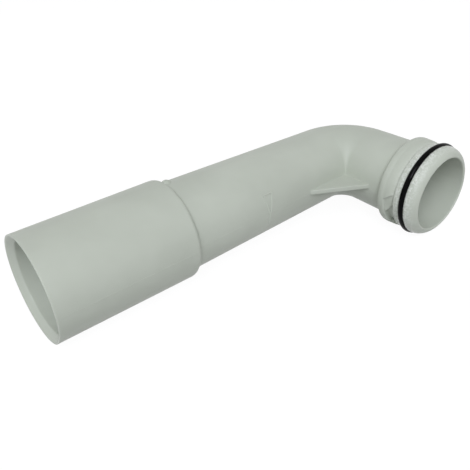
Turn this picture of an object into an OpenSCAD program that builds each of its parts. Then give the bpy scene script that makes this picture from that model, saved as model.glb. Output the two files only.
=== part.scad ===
// Macerator outlet bend: a moulded right-angle bend with a long pipe socket and
// a short sealed bayonet spigot. Sizes are in millimetres.
//
// The origin is on the spigot's axis, at the front of the collar that the
// bayonet seats against. The spigot points along -Y. The long leg runs along
// -X to the socket mouth. Both axes lie in the plane z = 0.
//
// The modules measure along each leg from the point where the axes cross, and
// in_frame() moves the finished shapes from there to the origin.

/* [Socket] */
// Outside diameter of the pipe socket
socket_od = 50; // [48:0.5:56]
// Bore of the socket, which takes a 43 mm waste pipe
socket_bore = 43.3; // [42:0.1:44.5]
// Length of the socket, from its mouth to its shoulder
socket_len = 70.5; // [40:0.5:90]
// Distance from the spigot's axis to the socket mouth
main_len = 192; // [160:1:240]
// Radius of the rounded edge behind the socket
shoulder_round = 2.4; // [0.5:0.1:2.6]
// Width of the flat lip left outside the lead-in at the mouth
mouth_lip = 0.7; // [0.4:0.1:1.2]
// Depth of the lead-in at the mouth
lead_in = 2.8; // [1:0.1:5]

/* [Tube] */
// Outside diameter of the tube at the socket's shoulder
tube_od_shoulder = 44.7; // [43:0.1:46]
// Outside diameter of the tube round the bend
tube_od = 40.4; // [39:0.1:42]
// How far the short leg's tube widens, on its radius, between bend and collar
neck_flare = 0.3; // [0:0.1:0.6]
// Wall of the tube
wall = 2.8; // [2:0.1:3.4]

/* [Bend] */
// Radius of the tight inside corner of the bend
bend_inner_r = 0.5; // [0.3:0.1:6]
// Thickness of the web across the inside corner
web_t = 2.5; // [1:0.1:4]
// Distance from the spigot's axis to the web's foot on the long leg
web_main = 48.2; // [40:0.1:70]
// Distance from the long leg's axis to the web's foot on the short leg
web_out = 37; // [30:0.1:43]

/* [Spigot] */
// Distance from the long leg's axis to the front of the seal groove
seal_front = 61.5; // [60:0.1:84]
// Height of the land behind the seal above the tube
land_rise = 3; // [2.6:0.1:4]
// How far the end ring and the collar stand out beyond the land
ring_rise = 0.5; // [0:0.1:0.9]
// Width of the end ring's flat, between the seal groove and its nose
ring_flat = 0.5; // [0.3:0.1:1.5]
// Radius of the end ring's rounded nose
nose_r = 5.9; // [5:0.1:7]
// Wall between the bore's end and the floor of the seal groove
spigot_wall = 2.2; // [1.6:0.1:3]
// Radius of the rounded edge of the bore at the nose
bore_edge_r = 0.6; // [0.3:0.1:1.2]
// Width of the land behind the seal
land_w = 3.9; // [3:0.1:5]
// Bevel on the back edge of the land
land_bevel = 0.6; // [0.2:0.1:1]

/* [Seal] */
// Thickness of the seal ring's cord
seal_cord = 3.2; // [2.8:0.1:3.5]
// How far the seal stands out beyond the land
seal_stand = 1.35; // [1:0.05:1.6]
// Clearance between the seal and its groove
seal_fit = 0.05; // [0.02:0.01:0.1]

/* [Bayonet] */
// Width of the collar
collar_w = 4.8; // [4:0.1:6]
// Radius of the collar's rounded front edge
collar_round = 1; // [0.3:0.1:1.4]
// Radius of the collar's rounded back edge
collar_back_round = 2.2; // [0.5:0.1:2.5]
// Width of the bayonet groove
groove_w = 5; // [4:0.1:6.5]
// Depth of the bayonet groove below the land
groove_depth = 2.3; // [1.8:0.1:2.6]
// How far the lugs' highest line stands out beyond the land
lug_rise = 0.4; // [0:0.1:0.8]
// Radius of the crown along a lug's top
lug_crown_r = 12; // [8:0.5:20]
// Place of the crown's highest line, as a share of the groove's width
lug_crown_at = 0.2; // [0.1:0.05:0.6]
// Angle that each lug covers round the groove
lug_span = 142; // [60:1:150]
// Angle of the first lug's ramped end, from the socket's side towards the ground
lug_start = 17; // [0:1:40]
// Number of lugs, evenly spaced
lug_count = 2; // [1:1:2]
// Skew of a lug's end wall across the groove, in degrees
lug_skew = 53; // [0:1:60]
// Angle that a lug's ramp covers, back from the end wall
ramp_span = 19; // [5:1:30]
// Angle from a lug's end wall back to the lowest line of its ramp
ramp_back = 4; // [0:1:10]
// Depth of a lug's ramp below its top
ramp_drop = 1.6; // [0.8:0.1:1.9]
// Slope of a lug's ramp down towards the spigot's end, in degrees
ramp_tilt = 13; // [4:1:20]
// Skew of the step at the top of a lug's ramp, in degrees
step_skew = 37; // [0:1:50]

/* [Pip] */
// Diameter of the domed moulding pip behind the socket
pip_d = 5.6; // [4:0.1:7]
// Height of the pip above the tube
pip_h = 1.6; // [0.5:0.1:2.4]
// Distance from the shoulder to the pip's centre
pip_back = 2.3; // [1:0.1:8]
// Angle of the pip from the top, towards the outside of the bend
pip_angle = 13; // [-30:1:30]

/* [Hidden] */
$fn = 128;
overlap = 0.01;
// How far a cut runs past the face that it leaves by
past = 1;

socket_r = socket_od / 2;
socket_bore_r = socket_bore / 2;
shoulder_r = tube_od_shoulder / 2;
tube_r = tube_od / 2;
bore_r = tube_r - wall;
shoulder_s = main_len - socket_len;
// The bend turns about the point at this distance along both axes.
corner_d = tube_r + bend_inner_r;
// The pipe stops one wall short of the shoulder.
stop_s = shoulder_s + wall;

neck_r = tube_r + neck_flare;
land_r = neck_r + land_rise;
ring_r = land_r + ring_rise;
seal_groove_w = seal_cord + 2 * seal_fit;
seal_back_s = seal_front - seal_groove_w;
seal_mid_s = (seal_front + seal_back_s) / 2;
seal_mid_r = land_r + seal_stand - seal_cord / 2;
seal_floor_r = seal_mid_r - seal_cord / 2 - seal_fit;
spigot_bore_r = seal_floor_r - spigot_wall;
land_back_s = seal_back_s - land_w;
collar_front_s = land_back_s - groove_w;
collar_back_s = collar_front_s - collar_w;
groove_r = land_r - groove_depth;
lug_r = land_r + lug_rise;

// The nose is an arc that starts at the end of the ring's flat. The spigot ends
// where the rounded edge of its bore meets that arc.
edge_r = spigot_bore_r + bore_edge_r;
nose_mid_r = ring_r - nose_r;
nose_mid_s = seal_front + ring_flat;
nose_reach = sqrt(pow(nose_r, 2) - pow(edge_r - nose_mid_r, 2));
spigot_len = nose_mid_s + nose_reach;

// A lug is drawn longer than it is by this angle, so that its end wall can be
// cut askew.
lug_spare = 2 + atan((groove_w / 2 + collar_round) * tan(lug_skew) / groove_r);

// Outside radius of a leg at a distance s from the other leg's axis, where it
// widens evenly from the bend to the radius r1 at s1
function leg_r(s, r1, s1) = tube_r + (r1 - tube_r) * (s - corner_d) / (s1 - corner_d);

// Moves a shape from the crossing of the axes to the part's own frame
module in_frame() {
    translate([0, collar_front_s, 0]) children();
}

// Turns a shape drawn about +Z so that it lies about the long leg's axis
module on_main_axis() {
    rotate([0, -90, 0]) children();
}

// Turns a shape drawn about +Z so that it lies about the short leg's axis
module on_spigot_axis() {
    rotate([90, 0, 0]) children();
}

// The bend itself, for any section radius
module bend_mass(r) {
    translate([-corner_d, -corner_d, 0])
        rotate_extrude(angle = 90) translate([corner_d, 0]) circle(r);
}

// Half section of the long leg's outside, as radius and distance along the leg
module main_profile() {
    polygon([
        [0, corner_d],
        [tube_r, corner_d],
        [shoulder_r, shoulder_s],
        [shoulder_r, shoulder_s + overlap],
        [0, shoulder_s + overlap]
    ]);
    translate([0, shoulder_s]) square([socket_r - shoulder_round, socket_len]);
    translate([0, shoulder_s + shoulder_round])
        square([socket_r, socket_len - shoulder_round]);
    translate([socket_r - shoulder_round, shoulder_s + shoulder_round])
        circle(shoulder_round);
}

// Half section of the long leg's bore
module main_bore_profile() {
    polygon([
        [0, corner_d],
        [bore_r, corner_d],
        [leg_r(stop_s, shoulder_r, shoulder_s) - wall, stop_s],
        [socket_bore_r, stop_s],
        [socket_bore_r, main_len - lead_in],
        [socket_r - mouth_lip, main_len],
        [socket_r - mouth_lip, main_len + past],
        [0, main_len + past]
    ]);
}

// Half section of the short leg's outside, without the lugs
module spigot_profile() {
    polygon([
        [0, corner_d],
        [tube_r, corner_d],
        [neck_r, collar_back_s],
        [neck_r, seal_front],
        [0, seal_front]
    ]);
    collar_profile();
    // Floor of the bayonet groove
    translate([0, collar_front_s - collar_round])
        square([groove_r, groove_w + 2 * collar_round]);
    // Land behind the seal
    polygon([
        [0, land_back_s],
        [land_r - land_bevel, land_back_s],
        [land_r, land_back_s + land_bevel],
        [land_r, seal_back_s],
        [0, seal_back_s]
    ]);
    // Floor of the seal groove
    translate([0, seal_back_s - overlap])
        square([seal_floor_r, seal_groove_w + 2 * overlap]);
    // End ring with its short flat and its rounded nose
    translate([0, seal_front]) square([ring_r, ring_flat]);
    intersection() {
        translate([nose_mid_r, nose_mid_s]) circle(nose_r);
        translate([0, nose_mid_s]) square([ring_r, nose_r]);
    }
}

// Half section of the collar, with a soft back edge and a tighter front edge
module collar_profile() {
    soft_s = collar_back_s + collar_back_round;
    translate([0, collar_back_s]) square([ring_r - collar_back_round, collar_w]);
    translate([0, soft_s]) square([ring_r - collar_round, collar_front_s - soft_s]);
    translate([0, soft_s]) square([ring_r, collar_front_s - collar_round - soft_s]);
    translate([ring_r - collar_back_round, soft_s]) circle(collar_back_round);
    translate([ring_r - collar_round, collar_front_s - collar_round])
        circle(collar_round);
}

// Half section of the short leg's bore, which widens evenly to its rounded edge
module spigot_bore_profile() {
    edge_s = spigot_len - bore_edge_r;
    polygon([
        [0, corner_d],
        [bore_r, corner_d],
        [spigot_bore_r, edge_s],
        [0, edge_s]
    ]);
    difference() {
        translate([0, edge_s]) square([edge_r, bore_edge_r + past]);
        translate([edge_r, edge_s]) circle(bore_edge_r);
    }
}

// Half section of a bayonet lug, with a crowned top
module lug_profile() {
    crown_s = collar_front_s + groove_w * lug_crown_at;
    foot_r = groove_r - land_bevel;
    intersection() {
        translate([foot_r, collar_front_s - collar_round])
            square([lug_r - foot_r, groove_w + collar_round + land_bevel]);
        translate([lug_r - lug_crown_r, crown_s]) circle(lug_crown_r);
    }
}

// The space beyond a wall across the groove at the given angle, cut askew
module beyond_wall(angle, skew) {
    rotate([0, 0, angle]) translate([lug_r, 0, collar_front_s + groove_w / 2])
        rotate([skew, 0, 0]) translate([-lug_r, 0, -2 * groove_w])
            cube([2 * lug_r, lug_r, 4 * groove_w]);
}

// The space above the plane of a lug's ramp
module above_ramp(angle) {
    rotate([0, 0, angle])
        translate([lug_r - ramp_drop, 0, collar_front_s + groove_w / 2])
            rotate([0, -ramp_tilt, 0]) translate([0, -lug_r, -groove_w])
                cube([groove_w, 2 * lug_r, 2 * groove_w]);
}

// One lug, whose lower end steps down to a flat ramp and a skewed end wall
module lug() {
    start = 180 + lug_start;
    difference() {
        rotate([0, 0, start - lug_span])
            rotate_extrude(angle = lug_span + lug_spare) lug_profile();
        union() {
            intersection() {
                above_ramp(start - ramp_back);
                beyond_wall(start - ramp_span, step_skew);
            }
            beyond_wall(start, lug_skew);
        }
    }
}

// The web across the inside corner, with its feet inside the wall
module corner_web() {
    foot = wall / 2;
    main_r = leg_r(web_main, shoulder_r, shoulder_s);
    out_r = leg_r(web_out, neck_r, collar_back_s);
    linear_extrude(web_t, center = true)
        polygon([
            [-web_main, -main_r],
            [-out_r, -web_out],
            [foot - out_r, -web_out],
            [foot - tube_r, foot - tube_r],
            [-web_main, foot - main_r]
        ]);
}

// The pip that the moulding leaves behind the socket
module pip() {
    s = shoulder_s - pip_back;
    top_r = leg_r(s, shoulder_r, shoulder_s) + pip_h;
    rotate([-pip_angle, 0, 0])
        translate([-s, 0, top_r - pip_d / 2]) sphere(d = pip_d);
}

// Everything outside the bend's bore, before it is hollowed
module outside() {
    on_main_axis() rotate_extrude() main_profile();
    on_spigot_axis() rotate_extrude() spigot_profile();
    bend_mass(tube_r);
    on_spigot_axis()
        for (i = [0 : lug_count - 1])
            rotate([0, 0, i * 360 / lug_count]) lug();
    corner_web();
    pip();
}

// The waterway from the socket mouth to the spigot's end
module waterway() {
    on_main_axis() rotate_extrude() main_bore_profile();
    on_spigot_axis() rotate_extrude() spigot_bore_profile();
    bend_mass(bore_r);
}

module bend_body() {
    color([0.78, 0.8, 0.77])
        in_frame() difference() {
            union() outside();
            union() waterway();
        }
}

module seal_ring() {
    color([0.06, 0.06, 0.06])
        in_frame() on_spigot_axis() translate([0, 0, seal_mid_s])
            rotate_extrude() translate([seal_mid_r, 0]) circle(d = seal_cord);
}

bend_body();
seal_ring();
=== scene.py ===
"""Looks for the macerator outlet bend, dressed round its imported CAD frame.

The frame's origin is on the spigot's axis at the front of the collar. The
spigot points along -Y, the long leg runs along -X and the bend lies on its
side. Sizes whose names end in _mm are millimetres, and all others are metres.
"""

import logging
import math
from dataclasses import dataclass, replace
from enum import Enum
from typing import Any

import bmesh
import bpy
from mathutils import Matrix, Vector


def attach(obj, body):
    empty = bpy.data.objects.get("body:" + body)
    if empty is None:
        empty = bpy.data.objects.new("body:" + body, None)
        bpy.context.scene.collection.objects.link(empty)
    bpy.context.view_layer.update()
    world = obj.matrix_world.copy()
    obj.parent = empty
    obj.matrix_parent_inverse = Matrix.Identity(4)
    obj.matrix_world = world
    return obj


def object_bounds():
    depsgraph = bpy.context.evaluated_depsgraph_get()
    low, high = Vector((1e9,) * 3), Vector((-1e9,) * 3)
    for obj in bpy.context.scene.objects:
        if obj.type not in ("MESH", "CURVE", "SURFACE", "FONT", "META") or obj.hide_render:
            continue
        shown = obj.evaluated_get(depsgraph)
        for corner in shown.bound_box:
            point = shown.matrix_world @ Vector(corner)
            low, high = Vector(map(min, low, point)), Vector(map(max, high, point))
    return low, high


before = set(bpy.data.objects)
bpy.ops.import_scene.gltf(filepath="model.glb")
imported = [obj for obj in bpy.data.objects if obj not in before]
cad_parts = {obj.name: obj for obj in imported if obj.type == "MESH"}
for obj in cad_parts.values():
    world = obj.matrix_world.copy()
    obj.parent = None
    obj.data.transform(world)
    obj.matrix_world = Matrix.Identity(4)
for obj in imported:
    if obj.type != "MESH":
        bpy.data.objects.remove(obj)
CAD_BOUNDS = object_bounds()
LOG = logging.getLogger("outlet_bend")

MM_PER_METRE = 1000.0
WHITE = "#FFFFFF"
# A colour mix has several sockets of each name, so it is wired by number.
MIX_SHARE, MIX_FIRST, MIX_SECOND, MIX_RESULT = 0, 6, 7, 2


def metres(length_mm: float) -> float:
    """Turns millimetres into metres."""
    return length_mm / MM_PER_METRE


def per_metre(feature_mm: float) -> float:
    """Gives the texture scale at which a pattern repeats every feature_mm."""
    return MM_PER_METRE / feature_mm


def linear(hex_colour: str) -> tuple[float, float, float, float]:
    """Turns an sRGB hex colour into the linear colour that the shaders use.

    The numbers are those of the sRGB standard's own curve.

    Args:
        hex_colour: Six hex digits after a #.

    Returns:
        Red, green, blue and an alpha of 1.
    """
    parts = [int(hex_colour[i:i + 2], 16) / 255.0 for i in (1, 3, 5)]
    red, green, blue = (
        c / 12.92 if c <= 0.04045 else ((c + 0.055) / 1.055) ** 2.4 for c in parts
    )
    return red, green, blue, 1.0


def add_node(
    tree: bpy.types.NodeTree,
    kind: str,
    settings: dict[str | int, Any] | None = None,
    links: dict[str | int, bpy.types.NodeSocket] | None = None,
) -> bpy.types.Node:
    """Adds one shader node.

    Args:
        tree: The material's or world's node tree.
        kind: Blender's name for the node type.
        settings: Values by property name, or by the input's name or number.
        links: Output sockets by the name or number of the input they feed.

    Returns:
        The new node.
    """
    node = tree.nodes.new(kind)
    for key, value in (settings or {}).items():
        if isinstance(key, str) and hasattr(node, key):
            setattr(node, key, value)
        else:
            node.inputs[key].default_value = value
    for key, source in (links or {}).items():
        tree.links.new(source, node.inputs[key])
    return node


def new_material(name: str) -> tuple[bpy.types.Material, bpy.types.Node]:
    """Makes an empty material.

    Args:
        name: The material's name.

    Returns:
        The material and its output node.
    """
    material = bpy.data.materials.new(name)
    material.use_nodes = True
    material.node_tree.nodes.clear()
    return material, add_node(material.node_tree, "ShaderNodeOutputMaterial")


def seen_directly(tree: bpy.types.NodeTree) -> bpy.types.NodeSocket:
    """Tells the rays that show a surface from those that only light it.

    Args:
        tree: The node tree that takes the nodes.

    Returns:
        A socket that is 1 for camera, glossy and transmission rays, else 0.
    """
    rays = add_node(tree, "ShaderNodeLightPath")
    shown = rays.outputs["Is Camera Ray"]
    for kind in ("Is Glossy Ray", "Is Transmission Ray"):
        shown = add_node(
            tree, "ShaderNodeMath", {"operation": "MAXIMUM"}, {0: shown, 1: rays.outputs[kind]}
        ).outputs[0]
    return shown


def dress_node(name: str, finish: bpy.types.Material) -> None:
    """Gives one of the frame's CAD nodes its finish.

    Args:
        name: The node's name.
        finish: Its material.
    """
    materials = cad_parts[name].data.materials
    materials.clear()
    materials.append(finish)
    LOG.info("%s: %s", name, finish.name)


def add_piece(
    name: str, mesh: bmesh.types.BMesh, material: bpy.types.Material
) -> bpy.types.Object:
    """Makes a visible piece that rides on the moulding.

    Args:
        name: The piece's name.
        mesh: Its mesh, in metres, which is used up.
        material: Its finish.

    Returns:
        The new object.
    """
    bmesh.ops.recalc_face_normals(mesh, faces=mesh.faces)
    data = bpy.data.meshes.new(name)
    mesh.to_mesh(data)
    mesh.free()
    data.materials.append(material)
    piece = bpy.data.objects.new(name, data)
    bpy.context.scene.collection.objects.link(piece)
    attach(piece, "root")
    LOG.info("%s: %d faces, %s", name, len(data.polygons), material.name)
    return piece


class Side(Enum):
    """Side of a leg, as the angle round it from the inside of the bend."""

    INNER = 0.0
    OUTER = 180.0


@dataclass(frozen=True)
class Station:
    """One place along a raised line, in millimetres."""

    place: Vector
    outward: Vector


# Sizes of the CAD model. Places along a leg are measured from the point where
# the two legs' axes cross, behind the collar's front face.
COLLAR_FRONT_MM = 49.3
COLLAR_WIDTH_MM = 4.8
COLLAR_BACK_MM = COLLAR_FRONT_MM - COLLAR_WIDTH_MM
TUBE_R_MM = 20.2
NECK_FLARE_MM = 0.3
INSIDE_CORNER_R_MM = 0.5
# The turn's centre lies this far from each leg's axis.
TURN_MM = TUBE_R_MM + INSIDE_CORNER_R_MM
MOUTH_MM = -CAD_BOUNDS[0][0] * MM_PER_METRE
SOCKET_R_MM = CAD_BOUNDS[1][2] * MM_PER_METRE
SOCKET_LENGTH_MM = 70.5
SHOULDER_MM = MOUTH_MM - SOCKET_LENGTH_MM
SHOULDER_TUBE_R_MM = 22.35
SHOULDER_ROUND_MM = 2.4
WEB_FOOT_MM = 48.2
CROSSING_MM = Vector((0.0, COLLAR_FRONT_MM, 0.0))
LONG_WAY = Vector((-1.0, 0.0, 0.0))
SHORT_WAY = Vector((0.0, -1.0, 0.0))


@dataclass(frozen=True)
class RoundLeg:
    """A straight leg of the bend that widens evenly away from the bend.

    Angles run round the leg from the inside of the bend towards +Z.
    """

    along: Vector
    inward: Vector
    start_mm: float
    end_mm: float
    start_r_mm: float
    end_r_mm: float

    def station(self, distance_mm: float, angle_deg: float) -> Station:
        """Finds a place on the leg's surface.

        Args:
            distance_mm: Distance along the leg.
            angle_deg: Angle round the leg.

        Returns:
            The place and the direction straight out of the surface.
        """
        share = (distance_mm - self.start_mm) / (self.end_mm - self.start_mm)
        radius = self.start_r_mm + (self.end_r_mm - self.start_r_mm) * share
        angle = math.radians(angle_deg)
        outward = self.inward * math.cos(angle) + Vector((0.0, 0.0, math.sin(angle)))
        return Station(CROSSING_MM + self.along * distance_mm + outward * radius, outward)


TUBE = RoundLeg(LONG_WAY, SHORT_WAY, TURN_MM, SHOULDER_MM, TUBE_R_MM, SHOULDER_TUBE_R_MM)
SOCKET = RoundLeg(LONG_WAY, SHORT_WAY, SHOULDER_MM, MOUTH_MM, SOCKET_R_MM, SOCKET_R_MM)
NECK = RoundLeg(
    SHORT_WAY, LONG_WAY, TURN_MM, COLLAR_BACK_MM, TUBE_R_MM, TUBE_R_MM + NECK_FLARE_MM
)


@dataclass(frozen=True)
class RaisedLine:
    """A low ridge with a rounded top, as a tool's groove or joint leaves it."""

    width_mm: float
    height_mm: float
    # The foot is sunk, so that no gap shows between the ridge and the wall.
    sunk_mm: float = 0.05
    # Shares of the half width and of the height that round the top off.
    top_share: float = 0.35
    flank_share: float = 0.8
    flank_height_share: float = 0.6

    def section(self) -> list[tuple[float, float]]:
        """Gives the ridge's section as distances across and out."""
        half = self.width_mm / 2
        right = [
            (half * self.top_share, self.height_mm),
            (half * self.flank_share, self.height_mm * self.flank_height_share),
            (half, -self.sunk_mm),
        ]
        return [(-across, out) for across, out in reversed(right)] + right

    def draw(self, mesh: bmesh.types.BMesh, path: list[Station]) -> None:
        """Adds a closed ridge along a path.

        Args:
            mesh: The mesh that takes the ridge, in metres.
            path: Places on the surface, in order.
        """
        rings = []
        for index, spot in enumerate(path):
            before = path[max(index - 1, 0)].place
            after = path[min(index + 1, len(path) - 1)].place
            across = (after - before).cross(spot.outward).normalized()
            rings.append([
                mesh.verts.new((spot.place + across * x + spot.outward * y) / MM_PER_METRE)
                for x, y in self.section()
            ])
        count = len(rings[0])
        for near, far in zip(rings, rings[1:]):
            for i in range(count):
                j = (i + 1) % count
                mesh.faces.new((near[i], near[j], far[j], far[i]))
        mesh.faces.new(reversed(rings[0]))
        mesh.faces.new(rings[-1])


@dataclass(frozen=True)
class MouldedPolypropylene:
    """Pale grey polypropylene, injection moulded in a lightly textured tool.

    The eye sees an even, slightly green grey with a soft wide sheen. Light seeps
    a little way into the plastic and softens its shadows. The tool's spark
    texture breaks the sheen up, the melt's flow leaves faint clouds of tone, and
    the surface has shrunk into very shallow hollows. Every edge has the small
    radius of the tool's cutter. Grease from the seal glistens beside its groove,
    and its dabs are painted lighter as a painted highlight of their glints.
    """

    name: str = "moulded_polypropylene"
    colour: str = "#BFC5B9"
    ior: float = 1.49
    # The tool's texture scatters part of the reflection.
    reflection: float = 0.32
    seep_share: float = 0.3
    seep_mm: float = 1.6
    edge_radius_mm: float = 1.1
    # The melt's flow leaves clouds of tone.
    cloud_colour: str = "#B9BFB3"
    cloud_mm: float = 38.0
    # A span is the middle part of a noise's values, drawn out to the whole change.
    cloud_span: tuple[float, float] = (0.38, 0.62)
    # Marks drawn along the long leg where it slid off the core.
    draw_mm: float = 1.6
    draw_length_mm: float = 42.0
    draw_span: tuple[float, float] = (0.3, 0.7)
    roughness_low: float = 0.4
    roughness_high: float = 0.5
    # The wall shrinks unevenly as it cools.
    hollow_mm: float = 16.0
    hollow_depth_mm: float = 0.05
    # Tool texture is about 0.1 mm apart, too fine to show, so it is drawn coarser.
    grain_mm: float = 0.9
    grain_depth_mm: float = 0.006
    # Grease lies in milky dabs beside the seal, and none is left past its reach. The dabs' lighter
    # colour is also a painted highlight standing in for their glints.
    grease_and_glint_colour: str = "#D9DDD6"
    grease_at_mm: float = -10.5
    grease_reach_mm: float = 7.0
    # Share of the reach within which the dabs are at their full strength.
    grease_full_share: float = 0.4
    # The bore is dry: grease starts at this distance from the spigot's axis.
    grease_inner_r_mm: float = 21.0
    grease_fade_mm: float = 1.5
    grease_dab_mm: float = 0.9
    grease_dab_span: tuple[float, float] = (0.45, 0.6)
    grease_roughness: float = 0.12
    grease_depth_mm: float = 0.2

    def build(self) -> bpy.types.Material:
        """Makes the material."""
        material, output = new_material(self.name)
        tree = material.node_tree
        place = add_node(tree, "ShaderNodeTexCoord").outputs["Object"]
        grease, grease_skin = self.spread_grease(tree, place)
        plastic = add_node(
            tree, "ShaderNodeBsdfPrincipled",
            {
                "IOR": self.ior,
                "Specular IOR Level": self.reflection,
                "Subsurface Weight": self.seep_share,
                "Subsurface Radius": (1.0, 1.0, 1.0),
                "Subsurface Scale": metres(self.seep_mm),
                "Coat Roughness": self.grease_roughness,
            },
            {
                "Base Color": self.tone(tree, place, grease),
                "Roughness": self.sheen(tree, place),
                "Normal": self.relief(tree, place),
                "Coat Weight": grease,
                "Coat Normal": grease_skin,
            },
        )
        tree.links.new(plastic.outputs[0], output.inputs["Surface"])
        return material

    def tone(
        self,
        tree: bpy.types.NodeTree,
        place: bpy.types.NodeSocket,
        grease: bpy.types.NodeSocket,
    ) -> bpy.types.NodeSocket:
        """Colours the plastic, with its faint clouds and the dabs of grease on it, whose lighter
        colour is also a painted highlight for their glints.

        Args:
            tree: The material's node tree.
            place: Position on the moulding.
            grease: The grease's share, which also places the painted highlight of its glints.

        Returns:
            The colour.
        """
        clouds = add_node(
            tree, "ShaderNodeTexNoise",
            {"Scale": per_metre(self.cloud_mm), "Detail": 3.0, "Roughness": 0.5},
            {"Vector": place},
        )
        low, high = self.cloud_span
        cloudy = add_node(
            tree, "ShaderNodeMapRange", {"From Min": low, "From Max": high},
            {"Value": clouds.outputs["Fac"]},
        )
        dry = add_node(
            tree, "ShaderNodeMix",
            {
                "data_type": "RGBA",
                MIX_FIRST: linear(self.colour),
                MIX_SECOND: linear(self.cloud_colour),
            },
            {MIX_SHARE: cloudy.outputs[0]},
        )
        # The dabs are mixed in lighter: milky grease, and a painted highlight for its glints.
        dabbed_with_glints = add_node(
            tree, "ShaderNodeMix",
            {"data_type": "RGBA", MIX_SECOND: linear(self.grease_and_glint_colour)},
            {MIX_SHARE: grease, MIX_FIRST: dry.outputs[MIX_RESULT]},
        )
        return dabbed_with_glints.outputs[MIX_RESULT]

    def sheen(
        self, tree: bpy.types.NodeTree, place: bpy.types.NodeSocket
    ) -> bpy.types.NodeSocket:
        """Varies the sheen with the faint marks that run along the long leg.

        Args:
            tree: The material's node tree.
            place: Position on the moulding.

        Returns:
            The roughness.
        """
        stretched = add_node(
            tree, "ShaderNodeMapping",
            {"Scale": (self.draw_mm / self.draw_length_mm, 1.0, 1.0)},
            {"Vector": place},
        )
        draw = add_node(
            tree, "ShaderNodeTexNoise",
            {"Scale": per_metre(self.draw_mm), "Detail": 2.0},
            {"Vector": stretched.outputs[0]},
        )
        low, high = self.draw_span
        return add_node(
            tree, "ShaderNodeMapRange",
            {
                "From Min": low,
                "From Max": high,
                "To Min": self.roughness_low,
                "To Max": self.roughness_high,
            },
            {"Value": draw.outputs["Fac"]},
        ).outputs[0]

    def relief(
        self, tree: bpy.types.NodeTree, place: bpy.types.NodeSocket
    ) -> bpy.types.NodeSocket:
        """Rounds the edges and lays the hollows and the tool's grain over the plastic.

        Args:
            tree: The material's node tree.
            place: Position on the moulding.

        Returns:
            The surface's normal.
        """
        edges = add_node(
            tree, "ShaderNodeBevel", {"samples": 8, "Radius": metres(self.edge_radius_mm)}
        )
        hollows = add_node(
            tree, "ShaderNodeTexNoise",
            {"Scale": per_metre(self.hollow_mm), "Detail": 1.0},
            {"Vector": place},
        )
        shrunk = add_node(
            tree, "ShaderNodeBump", {"Distance": metres(self.hollow_depth_mm)},
            {"Height": hollows.outputs["Fac"], "Normal": edges.outputs[0]},
        )
        grain = add_node(
            tree, "ShaderNodeTexNoise",
            {"Scale": per_metre(self.grain_mm), "Detail": 2.0, "Roughness": 0.6},
            {"Vector": place},
        )
        return add_node(
            tree, "ShaderNodeBump", {"Distance": metres(self.grain_depth_mm)},
            {"Height": grain.outputs["Fac"], "Normal": shrunk.outputs[0]},
        ).outputs[0]

    def spread_grease(
        self, tree: bpy.types.NodeTree, place: bpy.types.NodeSocket
    ) -> tuple[bpy.types.NodeSocket, bpy.types.NodeSocket]:
        """Lays dabs of grease on both sides of the seal.

        Args:
            tree: The material's node tree.
            place: Position on the moulding.

        Returns:
            The grease's share and the normal of its skin.
        """
        along = add_node(tree, "ShaderNodeSeparateXYZ", {}, {0: place}).outputs["Y"]
        away = add_node(
            tree, "ShaderNodeMath", {"operation": "SUBTRACT", 1: metres(self.grease_at_mm)},
            {0: along},
        )
        distance = add_node(tree, "ShaderNodeMath", {"operation": "ABSOLUTE"}, {0: away.outputs[0]})
        near = add_node(
            tree, "ShaderNodeMapRange",
            {
                "From Min": metres(self.grease_reach_mm),
                "From Max": metres(self.grease_reach_mm * self.grease_full_share),
            },
            {"Value": distance.outputs[0]},
        )
        flat = add_node(
            tree, "ShaderNodeVectorMath", {"operation": "MULTIPLY", 1: (1.0, 0.0, 1.0)},
            {0: place},
        )
        radius = add_node(
            tree, "ShaderNodeVectorMath", {"operation": "LENGTH"}, {0: flat.outputs[0]}
        )
        outside = add_node(
            tree, "ShaderNodeMapRange",
            {
                "From Min": metres(self.grease_inner_r_mm),
                "From Max": metres(self.grease_inner_r_mm + self.grease_fade_mm),
            },
            {"Value": radius.outputs["Value"]},
        )
        greased = add_node(
            tree, "ShaderNodeMath", {"operation": "MULTIPLY"},
            {0: near.outputs[0], 1: outside.outputs[0]},
        )
        dabs = add_node(
            tree, "ShaderNodeTexNoise",
            {"Scale": per_metre(self.grease_dab_mm), "Detail": 2.0, "Roughness": 0.6},
            {"Vector": place},
        )
        low, high = self.grease_dab_span
        cover = add_node(
            tree, "ShaderNodeMapRange", {"From Min": low, "From Max": high},
            {"Value": dabs.outputs["Fac"]},
        )
        share = add_node(
            tree, "ShaderNodeMath", {"operation": "MULTIPLY"},
            {0: greased.outputs[0], 1: cover.outputs[0]},
        )
        skin = add_node(
            tree, "ShaderNodeBump", {"Distance": metres(self.grease_depth_mm)},
            {"Height": dabs.outputs["Fac"]},
        )
        return share.outputs[0], skin.outputs[0]


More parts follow.
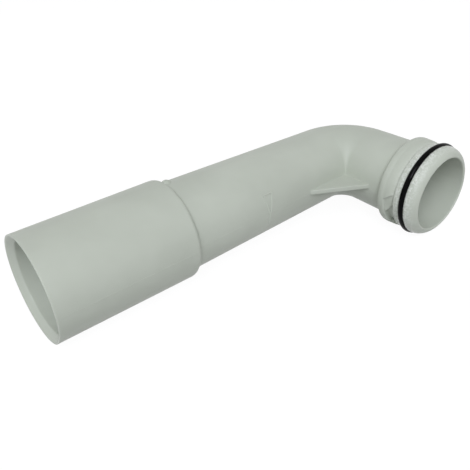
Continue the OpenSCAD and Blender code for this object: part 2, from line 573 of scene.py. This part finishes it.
@dataclass(frozen=True)
class MouldedRubber:
    """Black nitrile rubber, moulded in a polished tool and wiped with grease.

    The eye sees a deep black with a faint, narrow streak where it faces the
    light, broken a little by the film of grease.
    """

    name: str = "moulded_nitrile_rubber"
    colour: str = "#010101"
    worn_colour: str = "#040404"
    ior: float = 1.52
    # Carbon black scatters light under the skin, which dulls its reflections.
    reflection: float = 0.055
    roughness_low: float = 0.03
    roughness_high: float = 0.06
    film_mm: float = 2.2
    # The middle part of the film's noise, drawn out to the whole change.
    film_span: tuple[float, float] = (0.35, 0.65)
    grain_mm: float = 0.5
    grain_depth_mm: float = 0.005

    def build(self) -> bpy.types.Material:
        """Makes the material."""
        material, output = new_material(self.name)
        tree = material.node_tree
        place = add_node(tree, "ShaderNodeTexCoord").outputs["Object"]
        film = add_node(
            tree, "ShaderNodeTexNoise",
            {"Scale": per_metre(self.film_mm), "Detail": 3.0},
            {"Vector": place},
        )
        low, high = self.film_span
        gloss = add_node(
            tree, "ShaderNodeMapRange",
            {
                "From Min": low,
                "From Max": high,
                "To Min": self.roughness_low,
                "To Max": self.roughness_high,
            },
            {"Value": film.outputs["Fac"]},
        )
        tone = add_node(
            tree, "ShaderNodeMix",
            {
                "data_type": "RGBA",
                MIX_FIRST: linear(self.colour),
                MIX_SECOND: linear(self.worn_colour),
            },
            {MIX_SHARE: film.outputs["Fac"]},
        )
        grain = add_node(
            tree, "ShaderNodeTexNoise",
            {"Scale": per_metre(self.grain_mm), "Detail": 1.0},
            {"Vector": place},
        )
        skin = add_node(
            tree, "ShaderNodeBump", {"Distance": metres(self.grain_depth_mm)},
            {"Height": grain.outputs["Fac"]},
        )
        rubber = add_node(
            tree, "ShaderNodeBsdfPrincipled",
            {"IOR": self.ior, "Specular IOR Level": self.reflection},
            {
                "Base Color": tone.outputs[MIX_RESULT],
                "Roughness": gloss.outputs[0],
                "Normal": skin.outputs[0],
            },
        )
        tree.links.new(rubber.outputs[0], output.inputs["Surface"])
        return material


@dataclass(frozen=True)
class PaperSweep:
    """Matt paper, which the camera sees as white with a light shadow."""

    name: str = "matt_paper"
    colour: str = "#C4C4C4"
    # Share of plain white in what the camera and reflections see, and its strength,
    # with which the lit paper comes to white.
    whiteness: float = 0.85
    white_level: float = 1.12

    def build(self) -> bpy.types.Material:
        """Makes the material."""
        material, output = new_material(self.name)
        tree = material.node_tree
        share = add_node(
            tree, "ShaderNodeMath", {"operation": "MULTIPLY", 1: self.whiteness},
            {0: seen_directly(tree)},
        )
        glow = add_node(tree, "ShaderNodeEmission", {"Strength": self.white_level})
        paper = add_node(tree, "ShaderNodeBsdfDiffuse", {"Color": linear(self.colour)})
        both = add_node(
            tree, "ShaderNodeMixShader", {},
            {0: share.outputs[0], 1: paper.outputs[0], 2: glow.outputs[0]},
        )
        tree.links.new(both.outputs[0], output.inputs["Surface"])
        return material


@dataclass(frozen=True)
class SealRing:
    """The round rubber ring in its groove on the spigot."""

    node: str = "seal_ring"

    def dress(self, rubber: bpy.types.Material) -> None:
        """Gives the ring its rubber."""
        dress_node(self.node, rubber)


@dataclass(frozen=True)
class PointerMark:
    """A plain raised pointer on the tube, in place of the moulded mark there."""

    top_deg: float = 27.0
    tip_deg: float = -1.0
    stem_deg: float = -19.0
    middle_mm: float = 76.9
    half_width_mm: float = 2.8
    tip_half_width_mm: float = 0.35
    step_deg: float = 2.0
    ridge: RaisedLine = RaisedLine(width_mm=1.0, height_mm=0.22)

    def slant(self, way: float) -> list[Station]:
        """Gives one slanting side, from the tip up.

        Args:
            way: -1 for the side nearer the bend, 1 for the other.

        Returns:
            Places on the tube.
        """
        span = self.top_deg - self.tip_deg
        steps = round(span / self.step_deg)
        path = []
        for i in range(steps + 1):
            share = i / steps
            off = self.tip_half_width_mm * (1.0 - share) + self.half_width_mm * share
            path.append(TUBE.station(self.middle_mm + way * off, self.tip_deg + span * share))
        return path

    def strokes(self) -> list[list[Station]]:
        """Gives the two sides, the top bar and the stem as places on the tube."""
        bar = [
            TUBE.station(self.middle_mm + self.half_width_mm * way, self.top_deg)
            for way in (-1.0, 0.0, 1.0)
        ]
        stem_steps = round((self.tip_deg - self.stem_deg) / self.step_deg)
        stem = [
            TUBE.station(self.middle_mm, self.tip_deg - self.step_deg * i)
            for i in range(stem_steps + 1)
        ]
        return [self.slant(-1.0), self.slant(1.0), bar, stem]

    def build(self, plastic: bpy.types.Material) -> bpy.types.Object:
        """Builds the mark.

        Args:
            plastic: The finish of the raised lines.

        Returns:
            The new object.
        """
        mesh = bmesh.new()
        for stroke in self.strokes():
            self.ridge.draw(mesh, stroke)
        return add_piece("pointer_mark", mesh, plastic)


@dataclass(frozen=True)
class PartingLine:
    """The faint ridge where the tool's two halves met, in the plane of the bend."""

    step_mm: float = 4.0
    turn_deg: float = 90.0
    turn_step_deg: float = 3.0
    # How far each stretch stops short of a shoulder, a foot or an edge.
    clear_mm: float = 0.4
    ridge: RaisedLine = RaisedLine(width_mm=0.35, height_mm=0.06)

    def stretch(
        self, leg: RoundLeg, side: Side, start_mm: float, end_mm: float
    ) -> list[Station]:
        """Gives one straight stretch of the line.

        Args:
            leg: The leg that it runs on.
            side: The side of the leg.
            start_mm: Where it starts, along the leg.
            end_mm: Where it ends, along the leg.

        Returns:
            Places on the leg's surface.
        """
        length = end_mm - start_mm
        steps = max(1, round(abs(length) / self.step_mm))
        pitch = length / steps
        return [leg.station(start_mm + pitch * i, side.value) for i in range(steps + 1)]

    def turn(self) -> list[Station]:
        """Gives the curved stretch round the outside of the bend."""
        middle = CROSSING_MM + (LONG_WAY + SHORT_WAY) * TURN_MM
        radius = TURN_MM + TUBE_R_MM
        path = []
        for i in range(round(self.turn_deg / self.turn_step_deg) + 1):
            angle = math.radians(self.turn_step_deg * i)
            outward = Vector((math.sin(angle), math.cos(angle), 0.0))
            path.append(Station(middle + outward * radius, outward))
        return path

    def build(self, plastic: bpy.types.Material) -> bpy.types.Object:
        """Builds the line.

        Args:
            plastic: The finish of the raised lines.

        Returns:
            The new object.
        """
        edge = SHOULDER_MM + SHOULDER_ROUND_MM + self.clear_mm
        shoulder = SHOULDER_MM - self.clear_mm
        foot = WEB_FOOT_MM + self.clear_mm
        stretches = [
            self.stretch(SOCKET, side, edge, MOUTH_MM - self.clear_mm) for side in Side
        ]
        stretches.append(self.stretch(TUBE, Side.INNER, foot, shoulder))
        # Outside the bend one line runs on from the tube, round the turn, to the collar.
        tube = self.stretch(TUBE, Side.OUTER, shoulder, TURN_MM)
        neck = self.stretch(NECK, Side.OUTER, TURN_MM, COLLAR_BACK_MM - self.clear_mm)
        stretches.append(tube[:-1] + self.turn() + neck[1:])
        mesh = bmesh.new()
        for path in stretches:
            self.ridge.draw(mesh, path)
        return add_piece("parting_line", mesh, plastic)


@dataclass(frozen=True)
class BendMoulding:
    """The bend's one moulding, with the small marks that its tool leaves."""

    node: str = "bend_body"
    pointer: PointerMark = PointerMark()
    parting: PartingLine = PartingLine()

    def dress(self, plastic: bpy.types.Material, ridges: bpy.types.Material) -> None:
        """Gives the moulding its plastic and its marks.

        Args:
            plastic: The moulding's finish.
            ridges: The finish of its thin raised lines.
        """
        dress_node(self.node, plastic)
        self.pointer.build(ridges)
        self.parting.build(ridges)


@dataclass(frozen=True)
class SoftLamp:
    """A square lamp with a diffuser, aimed at the part."""

    name: str
    watts: float
    size_mm: float
    place_mm: tuple[float, float, float]
    colour: str = "#F6F7FF"
    aim_mm: tuple[float, float, float] = (-50.0, 30.0, 0.0)

    def hang(self) -> None:
        """Adds the lamp."""
        lamp = bpy.data.lights.new(self.name, "AREA")
        lamp.energy = self.watts
        lamp.size = metres(self.size_mm)
        lamp.color = linear(self.colour)[:3]
        holder = bpy.data.objects.new(self.name, lamp)
        bpy.context.scene.collection.objects.link(holder)
        place = Vector(self.place_mm) / MM_PER_METRE
        aim = Vector(self.aim_mm) / MM_PER_METRE
        holder.location = place
        holder.rotation_euler = (aim - place).to_track_quat("-Z", "Y").to_euler()
        LOG.info("%s lamp: %.1f W", self.name, self.watts)


@dataclass(frozen=True)
class Studio:
    """Plain floor, soft lamps and an even sky."""

    floor_size_mm: float = 5000.0
    sky_level: float = 0.42
    lamps: tuple[SoftLamp, ...] = (
        SoftLamp("key", watts=22.5, size_mm=950.0, place_mm=(-1092.0, -930.0, 1436.0)),
        # The smaller lamp hangs lower and gives the seal its streak.
        SoftLamp("streak", watts=5.0, size_mm=350.0, place_mm=(-990.0, -1390.0, 1040.0)),
    )

    def lay_floor(self, paper: bpy.types.Material) -> None:
        """Lays the floor under the part.

        Args:
            paper: The floor's finish.
        """
        half = metres(self.floor_size_mm) / 2
        level = CAD_BOUNDS[0][2]
        corners = [
            (half * x, half * y, level) for x, y in ((-1, -1), (1, -1), (1, 1), (-1, 1))
        ]
        mesh = bpy.data.meshes.new("floor")
        mesh.from_pydata(corners, [], [tuple(range(len(corners)))])
        mesh.materials.append(paper)
        floor = bpy.data.objects.new("floor", mesh)
        bpy.context.scene.collection.objects.link(floor)
        LOG.info("floor at %.4f m", level)

    def set_sky(self) -> None:
        """Sets the even sky, which the camera and reflections see as white."""
        world = bpy.data.worlds.new("sky")
        bpy.context.scene.world = world
        world.use_nodes = True
        tree = world.node_tree
        tree.nodes.clear()
        colour = linear(WHITE)
        sky = add_node(
            tree, "ShaderNodeBackground", {"Color": colour, "Strength": self.sky_level}
        )
        white = add_node(tree, "ShaderNodeBackground", {"Color": colour, "Strength": 1.0})
        both = add_node(
            tree, "ShaderNodeMixShader", {},
            {0: seen_directly(tree), 1: sky.outputs[0], 2: white.outputs[0]},
        )
        output = add_node(tree, "ShaderNodeOutputWorld")
        tree.links.new(both.outputs[0], output.inputs["Surface"])
        LOG.info("sky at %.2f", self.sky_level)


@dataclass(frozen=True)
class Viewpoint:
    """The camera, placed where the photograph was taken from."""

    place_mm: tuple[float, float, float] = (-235.59, -144.70, 141.32)
    forward: tuple[float, float, float] = (0.51588, 0.65721, -0.54952)
    rightward: tuple[float, float, float] = (0.7710, -0.6360, -0.0341)
    lens_mm: float = 41.99
    sensor_mm: float = 36.0
    nearest_mm: float = 10.0

    def place(self) -> None:
        """Adds the camera and makes it the scene's."""
        forward = Vector(self.forward).normalized()
        right = Vector(self.rightward)
        right = (right - forward * right.dot(forward)).normalized()
        up = right.cross(forward)
        lens = bpy.data.cameras.new("camera")
        lens.lens = self.lens_mm
        lens.sensor_width = self.sensor_mm
        lens.sensor_fit = "HORIZONTAL"
        lens.clip_start = metres(self.nearest_mm)
        camera = bpy.data.objects.new("camera", lens)
        bpy.context.scene.collection.objects.link(camera)
        axes = Matrix((right, up, -forward)).transposed().to_4x4()
        camera.matrix_world = Matrix.Translation(Vector(self.place_mm) / MM_PER_METRE) @ axes
        bpy.context.scene.camera = camera


def main() -> None:
    """Builds the scene in order."""
    logging.basicConfig(level=logging.INFO, format="%(name)s: %(message)s")
    bpy.context.scene.view_settings.view_transform = "Standard"
    Viewpoint().place()
    plastic = MouldedPolypropylene()
    # The ridges are thinner than the edges' radius and than the light's reach.
    ridges = replace(plastic, name="polypropylene_ridge", seep_share=0.0, edge_radius_mm=0.0)
    BendMoulding().dress(plastic.build(), ridges.build())
    SealRing().dress(MouldedRubber().build())
    studio = Studio()
    studio.lay_floor(PaperSweep().build())
    for lamp in studio.lamps:
        lamp.hang()
    studio.set_sky()


if __name__ == "__main__":
    main()
